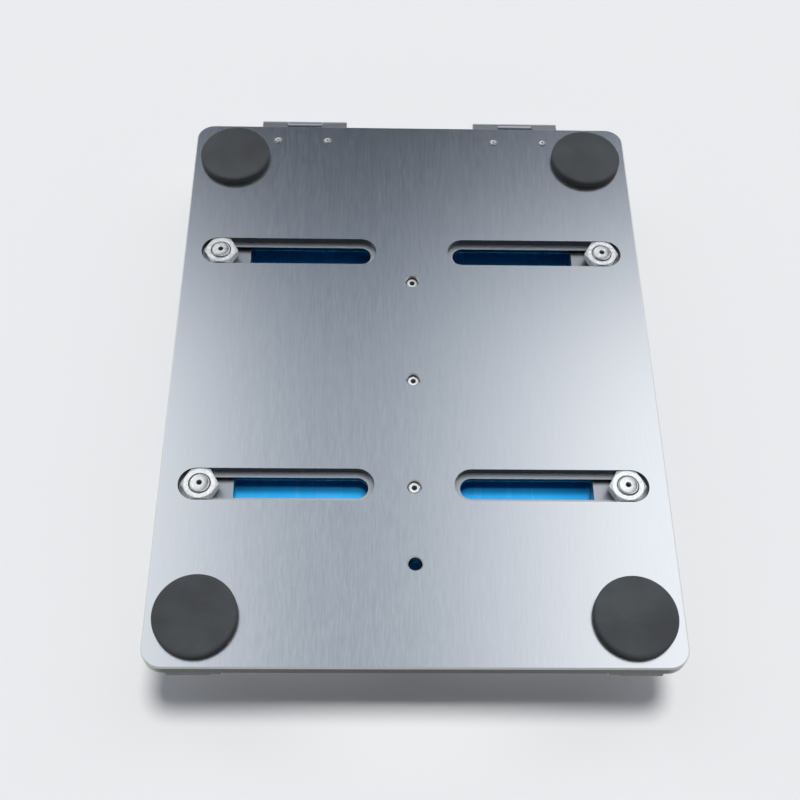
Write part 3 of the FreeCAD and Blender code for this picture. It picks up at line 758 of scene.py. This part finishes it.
def makeRibTree():
    # ribs round a turned piece's rim, then the whole moved to its place
    tree, source, sink = newGroup("GeometryNodeTree", "ribbedRim", [
        ("Geometry", "Geometry"),
        ("Rib", "Object"),
        ("Count", "Int"),
        ("Place", "Vector"),
        ("Finish", "Material"),
    ], [("Geometry", "Geometry")])
    points = addNode(tree, "GeometryNodePoints", {"Count": source["Count"]}).outputs[0]
    number = addNode(tree, "GeometryNodeInputIndex").outputs[0]
    step = calculate(tree, "DIVIDE", 2 * math.pi, source["Count"])
    turn = addNode(tree, "ShaderNodeCombineXYZ", {2: calculate(tree, "MULTIPLY", number, step)}).outputs[0]
    ring = pieceOnPoints(tree, points, source["Rib"], turn)
    both = addNode(tree, "GeometryNodeJoinGeometry")
    connect(tree, both.inputs[0], ring)
    connect(tree, both.inputs[0], source["Geometry"])
    inputs = {"Geometry": both.outputs[0], "Translation": source["Place"]}
    moved = addNode(tree, "GeometryNodeTransform", inputs).outputs[0]
    endTree(tree, moved, source["Finish"], sink)
    return tree


setTree = makeSetTree()
ribTree = makeRibTree()


def pointObject(name, places):
    mesh = bpy.data.meshes.new(name)
    mesh.from_pydata([Vector(place) * mm for place in places], [], [])
    return addObject(name, mesh)


def runTree(item, tree, values):
    modifier = item.modifiers.new("tree", "NODES")
    modifier.node_group = tree
    for socket in tree.interface.items_tree:
        if socket.in_out == "INPUT" and socket.name in values:
            modifier[socket.identifier] = values[socket.name]


sharpAngle = 32  # degrees; a bend of more than this is drawn as an edge


def finishPiece(item, body, slot, *replaced):
    # the modifiers' result as a plain mesh that stands for CAD nodes
    name = item.name
    bpy.context.view_layer.update()
    mesh = bpy.data.meshes.new_from_object(item.evaluated_get(bpy.context.evaluated_depsgraph_get()))
    bpy.data.objects.remove(item)
    mesh.name = name
    mesh.shade_smooth()
    mesh.set_sharp_from_angle(angle=math.radians(sharpAngle))
    piece = addObject(name, mesh)
    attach(piece, body)
    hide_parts(*replaced)


def placeSet(name, pattern, row, slot):
    # the pattern at every place of the row, as one piece
    points = pointObject(name, row["places"])
    runTree(points, setTree, {
        "Piece": pattern,
        "Flip": row["flip"],
        "Seed": row["seed"],
        "Finish": finishes[slot],
    })
    finishPiece(points, row["body"], slot, *row["nodes"])
    bpy.data.objects.remove(pattern)


# screws that stand in their holes

hingeRow = 116.15
hingeColumns = (-61.9, -38.9, 38.9, 61.9)
screwSets = {
    "supportBarScrews": {
        "size": "centre", "places": [(0, y, 16.05) for y in (35.7, -13.8, -62.5)],
        "flip": 0.0, "seed": 3, "nodes": ["support_bar_screws"], "body": "base",
    },
    "hingeBaseScrews": {
        "size": "hingeBase", "places": [(x, hingeRow, 11.25) for x in hingeColumns],
        "flip": 0.0, "seed": 5, "nodes": ["hinge_base_screws"], "body": "base",
    },
    "hingeFrameScrews": {
        "size": "hingeFrame", "places": [(x, hingeRow, 13.35) for x in hingeColumns],
        "flip": math.pi, "seed": 8, "nodes": ["hinge_frame_screws"], "body": "printing_frame",
    },
    "liftKnobScrew": {
        "size": "knob", "places": [(0, -109, 18.45)],
        "flip": math.pi, "seed": 2, "nodes": ["lift_knob_screw"], "body": "printing_frame",
    },
}


def addScrewSets():
    for name, row in screwSets.items():
        size = screwSizes[row["size"]]
        pattern = addObject(name + "Pattern", ringMesh(name + "Pattern", screwRings(size), size["sides"]))
        placeSet(name, pattern, row, "screw_steel")


addScrewSets()
print("screws placed")


# rubber feet, in millimetres; middle is the reach of the innermost ring, margin how far the sole's last flat
# ring is from the rounded edge

footSize = {
    "radius": 15.75,
    "thickness": 3.8,
    "round": 1.2,
    "bevel": 0.3,
    "margin": 0.4,
    "middle": 0.2,
    "roundSteps": 8,
    "sides": 96,
}
footSet = {
    "places": [(x, y, 0) for x in (-81, 81) for y in (-116, 105)],
    "flip": 0.0,
    "seed": 4,
    "nodes": ["foot_front_left", "foot_front_right", "foot_rear_left", "foot_rear_right"],
    "body": "base",
}


def footOutline():
    # a flat sole with a rounded edge, then the side up to the bevelled face on the plate
    size = footSize
    radius, edge, top = size["radius"], size["round"], size["thickness"]
    outline = [(0, size["middle"]), (0, radius / 2), (0, radius - edge - size["margin"])]
    for step in range(size["roundSteps"] + 1):
        angle = math.pi / 2 * step / size["roundSteps"]
        outline.append((edge - edge * math.cos(angle), radius - edge + edge * math.sin(angle)))
    return outline + [(top - size["bevel"], radius), (top, radius - size["bevel"]), (top, size["middle"])]


def addFeet():
    mesh = ringMesh("footPattern", plainRings(footOutline()), footSize["sides"])
    placeSet("rubberFeet", addObject("footPattern", mesh), footSet, "foot_rubber")


addFeet()
print("feet placed")


# clamp screws with a ribbed head, in millimetres; ribTop and ribFoot are from the head's top and underside

clampScrews = {
    "ribs": 40,
    "rise": 0.15,
    "ribWidth": 0.6,
    "ribTop": 0.95,
    "ribFoot": 0.5,
    "headTop": 17.6,
}


def addClampScrews():
    look, size = clampScrews, screwSizes["clamp"]
    rim = size["head"] / 2 - look["rise"]
    low, high = look["ribFoot"] - size["headHeight"], -look["ribTop"]
    rib = addObject("clampRib", ribMesh("clampRib", rim, look["rise"], look["ribWidth"], low, high))
    for end, back in (("front", -1), ("rear", 1)):
        for side, right in (("left", -1), ("right", 1)):
            corner = end + "_" + side
            spot = (right * plate["clampSide"], plate["middle"] + back * plate["clampRow"], look["headTop"])
            mesh = ringMesh("clampScrew", screwRings(size), size["sides"])
            piece = addObject("clampScrew" + end.title() + side.title(), mesh)
            runTree(piece, ribTree, {
                "Rib": rib,
                "Count": look["ribs"],
                "Place": tuple(value * mm for value in spot),
                "Finish": finishes["clamp_steel"],
            })
            finishPiece(piece, corner + "_clamp", "clamp_steel", "clamp_screw_" + corner)
    bpy.data.objects.remove(rib)


addClampScrews()
print("clamp screws placed")


# lift knob with a ribbed rim, in millimetres, with z at 0 under its foot

knobSize = {
    "place": (0, -109, 26.3),
    "height": 16,
    "bore": ((9, 0.1), (8.4, 2.05), (0.2, 2.05), (0, 2.25)),  # height and reach
    "foot": 6.5,
    "footEdge": ((0, 0.4), (0.12, 0.1), (0.5, 0)),  # height, and how far inside the foot
    "waist": 5.5,
    "waistHeight": 9.2,
    "waistSteps": 12,
    "pinch": 1.02,  # how fully the waist draws in
    "flare": 0.8,  # how fully it opens towards a reach of capInset less than the rim
    "capInset": 0.5,
    "rim": 8.65,
    "rimEdge": ((10.0, 0.45), (10.35, 0.1), (10.8, 0)),  # height, and how far inside the rim
    "rimRound": 1.2,
    "roundSteps": 6,
    "dish": ((0, 5.7), (0.12, 5.2), (0.4, 4.4), (0.6, 2.0), (0.65, 0.1)),  # depth and reach
    "ribs": 28,
    "rise": 0.35,
    "ribWidth": 1.1,
    "ribFoot": 10.7,
    "ribTop": 1.1,
    "sides": 72,
}


def waistReach(share):
    # the lower half draws in from the foot, the upper half opens towards the rim
    size = knobSize
    foot, waist = size["foot"], size["waist"]
    if share <= 0.5:
        return foot + (waist - foot) * math.sin(math.pi / 2 * size["pinch"] * share)
    lift = 2 * share - 1
    return waist + (size["rim"] - size["capInset"] - waist) * (1 - math.sqrt(1 - lift * lift)) * size["flare"]


def knobOutline():
    size = knobSize
    top, curve, steps = size["height"], size["rimRound"], size["roundSteps"]
    outline = list(size["bore"])
    outline += [(height, size["foot"] - inset) for height, inset in size["footEdge"]]
    waistFoot = outline[-1][0]
    for step in range(1, size["waistSteps"] + 1):
        share = step / size["waistSteps"]
        outline.append((waistFoot + size["waistHeight"] * share, waistReach(share)))
    outline += [(height, size["rim"] - inset) for height, inset in size["rimEdge"]]
    for step in range(steps + 1):
        angle = math.pi / 2 * step / steps
        outline.append((top - curve + curve * math.sin(angle), size["rim"] - curve + curve * math.cos(angle)))
    return outline + [(top - depth, reach) for depth, reach in size["dish"]]


def addLiftKnob():
    size = knobSize
    low, high = size["ribFoot"], size["height"] - size["ribTop"]
    rib = addObject("knobRib", ribMesh("knobRib", size["rim"], size["rise"], size["ribWidth"], low, high))
    knob = addObject("liftKnob", ringMesh("liftKnob", plainRings(knobOutline()), size["sides"]))
    runTree(knob, ribTree, {
        "Rib": rib,
        "Count": size["ribs"],
        "Place": tuple(value * mm for value in size["place"]),
        "Finish": finishes["knob_plastic"],
    })
    finishPiece(knob, "printing_frame", "knob_plastic", "lift_knob")
    bpy.data.objects.remove(rib)


addLiftKnob()
print("lift knob placed")


# studio

studio = {
    "floor": (0.62, 0.62, 0.62),
    "floorSize": 16.0,
    "floorGap": 0.0002,
    "floorGlow": (0.46, 0.46, 0.47),
    "sky": (0.80, 0.80, 0.80),
    "skyPatch": {"towards": (0.0, -0.6, 0.8), "reach": (0.85, 0.935), "colour": (0.03, 0.03, 0.033)},
    # how far up a direction points where the light from below turns into floor glow, and that into sky
    "glowEnds": (-0.56, -0.44),
    "horizon": (-0.06, 0.0),
}

lamps = {
    "sunAbove": {"from": (-0.35, -0.45, 1.0), "strength": 1.7, "spread": 40},
    "sunBelow": {"from": (-0.05, 0.16, -1.0), "strength": 3.0, "spread": 16},
    "slotLamp": {
        "place": (0.0, -0.10, -0.40), "aim": (0.0, -0.062, 0.018), "strength": 2.7,
        "cone": 24, "blend": 0.35, "radius": 0.03,
    },
}

# the light from below: its brightness by how far a direction leans right (across) and back (along), and its
# tint by brightness
glow = {
    "across": (
        (-1.0, 0.5), (-0.6, 0.75), (-0.24, 1.0), (-0.12, 0.68), (0.02, 0.25),
        (0.09, 0.33), (0.19, 0.88), (0.5, 0.75), (1.0, 0.5),
    ),
    "along": (
        (-0.45, 0.02), (-0.15, 0.2), (0.10, 0.97), (0.53, 1.0),
        (0.60, 0.60), (0.67, 0.08), (0.74, 0.0), (1.0, 0.0),
    ),
    "tint": (
        (0.0, (0.008, 0.011, 0.018)), (0.1, (0.075, 0.10, 0.145)),
        (0.45, (0.435, 0.495, 0.575)), (1.0, (1.20, 1.225, 1.275)),
    ),
}


def oneSidedFloor(name, colour):
    # shows from its front only, so that a view from behind it looks past it
    material = bpy.data.materials.new(name)
    material.use_nodes = True
    tree = material.node_tree
    tree.nodes.clear()
    face = addNode(tree, "ShaderNodeNewGeometry").outputs["Backfacing"]
    matt = addNode(tree, "ShaderNodeBsdfDiffuse", {0: (*colour, 1)}).outputs[0]
    clear = addNode(tree, "ShaderNodeBsdfTransparent").outputs[0]
    mix = addNode(tree, "ShaderNodeMixShader", {0: face, 1: matt, 2: clear}).outputs[0]
    addNode(tree, "ShaderNodeOutputMaterial", {0: mix})
    return material


def addFloor(name, height, facingUp, material):
    half = studio["floorSize"] / 2
    corners = [(-half, -half, height), (half, -half, height), (half, half, height), (-half, half, height)]
    order = (0, 1, 2, 3) if facingUp else (3, 2, 1, 0)
    mesh = bpy.data.meshes.new(name)
    mesh.from_pydata(corners, [], [order])
    mesh.materials.append(material)
    item = addObject(name, mesh)
    item.visible_diffuse = False
    item.visible_glossy = False
    item.visible_transmission = False
    item.visible_shadow = False


def addLamp(name, kind, way):
    # way is the direction in which the lamp shines
    data = bpy.data.lights.new(name, kind)
    data.energy = lamps[name]["strength"]
    item = addObject(name, data)
    item.rotation_euler = way.to_track_quat("-Z", "Y").to_euler()
    item.visible_glossy = False
    return item


def addSun(name):
    item = addLamp(name, "SUN", -Vector(lamps[name]["from"]))
    item.data.angle = math.radians(lamps[name]["spread"])


def addSlotLamp():
    # a soft spot from below that reaches the film through the two front slots
    lamp = lamps["slotLamp"]
    item = addLamp("slotLamp", "SPOT", Vector(lamp["aim"]) - Vector(lamp["place"]))
    item.location = lamp["place"]
    item.data.spot_size = math.radians(lamp["cone"])
    item.data.spot_blend = lamp["blend"]
    item.data.shadow_soft_size = lamp["radius"]


def levelRamp(tree, value, stops, low=-1.0):
    # a colour ramp whose stops run from low to 1
    node = addNode(tree, "ShaderNodeValToRGB", {0: remap(tree, value, 0.0, 1.0, low, 1.0)})
    ramp = node.color_ramp
    ramp.interpolation = "EASE"
    while len(ramp.elements) < len(stops):
        ramp.elements.new(0.5)
    for element, (place, tone) in zip(ramp.elements, stops):
        element.position = (place - low) / (1 - low)
        element.color = (*tone, 1) if isinstance(tone, tuple) else (tone, tone, tone, 1)
    return node.outputs[0]


def addWorld():
    # below, a soft box with a dim streak down its middle; elsewhere pale, apart from a dark patch above
    world = bpy.data.worlds.new("studioWorld")
    world.use_nodes = True
    scene.world = world
    tree = world.node_tree
    tree.nodes.clear()
    direction = addNode(tree, "ShaderNodeTexCoord").outputs["Generated"]
    right, back, up = splitVector(tree, direction)
    across = levelRamp(tree, right, glow["across"])
    along = levelRamp(tree, back, glow["along"])
    below = levelRamp(tree, calculate(tree, "MULTIPLY", across, along), glow["tint"], low=0.0)
    patch = studio["skyPatch"]
    near = vectorNode(tree, "DOT_PRODUCT", direction, patch["towards"])["Value"]
    shade = remap(tree, near, 0.0, 1.0, *patch["reach"])
    above = blendColour(tree, shade, studio["sky"], patch["colour"])
    side = blendColour(tree, remap(tree, up, 0.0, 1.0, *studio["glowEnds"]), below, studio["floorGlow"])
    light = blendColour(tree, remap(tree, up, 0.0, 1.0, *studio["horizon"]), side, above)
    shine = addNode(tree, "ShaderNodeBackground", {0: light, 1: 1.0}).outputs[0]
    addNode(tree, "ShaderNodeOutputWorld", {0: shine})


def addStudio():
    scene.view_settings.view_transform = "Standard"
    addWorld()
    floorPaint = oneSidedFloor("floorPaint", studio["floor"])
    addFloor("benchFloor", 0.0, True, floorPaint)
    addFloor("lowerFloor", cadBox[1][2] + studio["floorGap"], False, floorPaint)
    addSun("sunAbove")
    addSun("sunBelow")
    addSlotLamp()


addCamera()
addStudio()
print("camera and studio ready")
